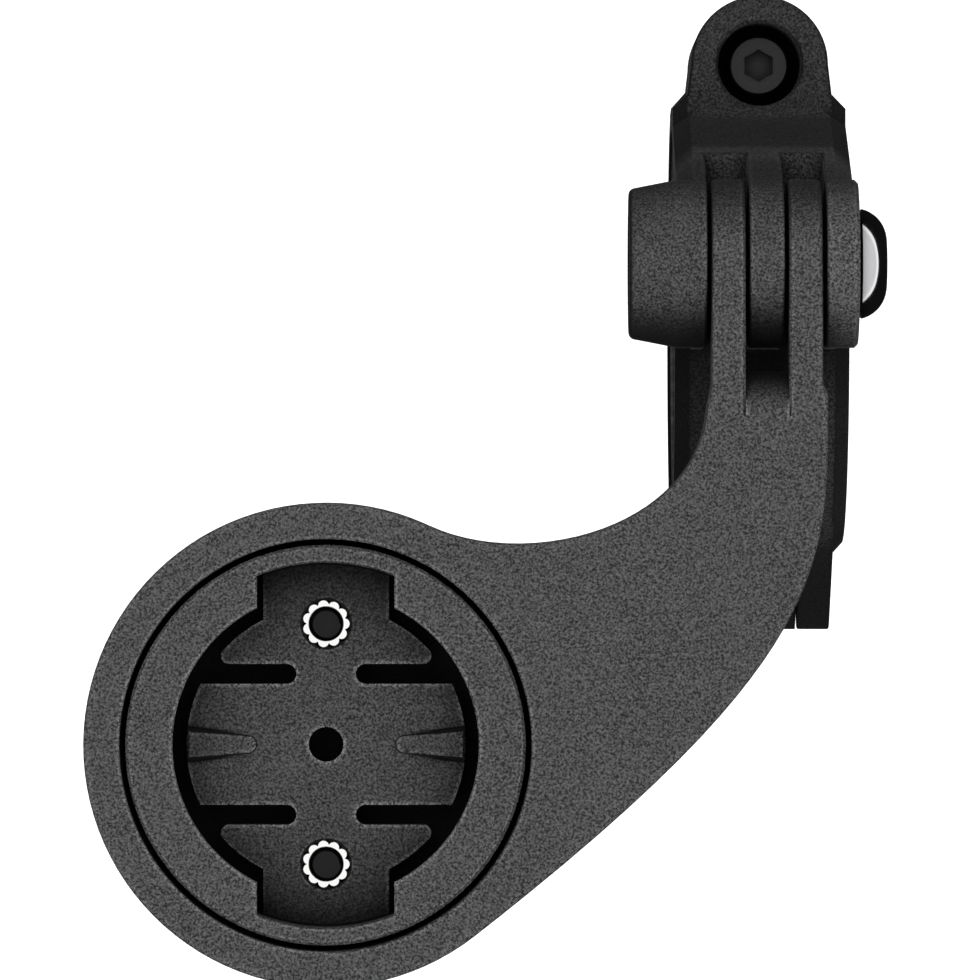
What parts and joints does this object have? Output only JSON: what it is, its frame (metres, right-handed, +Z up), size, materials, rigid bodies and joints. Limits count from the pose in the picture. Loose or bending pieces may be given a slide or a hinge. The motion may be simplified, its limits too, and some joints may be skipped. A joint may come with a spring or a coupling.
{
  "type": "bike computer mount",
  "caption": "Over-stem handlebar mount for a bicycle computer: hinged clamp, tilting curved arm and round quarter-turn bayonet socket.",
  "frame": {"origin": "on the handlebar's axis, in the middle of the clamp's width", "axes": "+X along the handlebar to the rider's right, +Y forward, +Z up, square to the arm's flat top at rest"},
  "size_m": [0.0692, 0.0864, 0.0568],
  "materials": {
    "black_plastic": "fine spark-textured moulded nylon",
    "black_rubber": "matt",
    "blackened_steel": "black oxide, slightly glossy",
    "plain_steel": "zinc plated",
    "nickelled_brass": "bright nickel plated, knurled"
  },
  "bodies": {
    "clamp": {"clamp_saddle": "black_plastic", "saddle_liner": "black_rubber", "pivot_bolt": "blackened_steel", "pivot_nut": "plain_steel", "hinge_pin": "plain_steel"},
    "arm": {"arm": "black_plastic", "twist_socket": "black_plastic", "socket_insert_front": "nickelled_brass", "socket_insert_rear": "nickelled_brass", "socket_screw_front": "blackened_steel", "socket_screw_rear": "blackened_steel"},
    "strap": {"clamp_strap": "black_plastic", "strap_liner": "black_rubber", "clamp_nut": "plain_steel"},
    "screw": {"clamp_screw": "blackened_steel"}
  },
  "joints": [
    {"name": "arm_tilt", "type": "hinge", "parent": "clamp", "child": "arm", "pos_m": [0, 0.00485, 0.02872], "axis": [-1, 0, 0], "range_deg": [-30, 170]},
    {"name": "strap_open", "type": "hinge", "parent": "clamp", "child": "strap", "pos_m": [0, -0.024, -0.0044], "axis": [-1, 0, 0], "range_deg": [0, 75]},
    {"name": "clamp_screw_out", "type": "slide", "parent": "clamp", "child": "screw", "axis": [0, 0, 1], "range_m": [0, 0.0146]}
  ],
  "couplings": [
    {"joint": "clamp_screw_out", "follows": "strap_open", "m_per_rad": 0.011077}
  ]
}
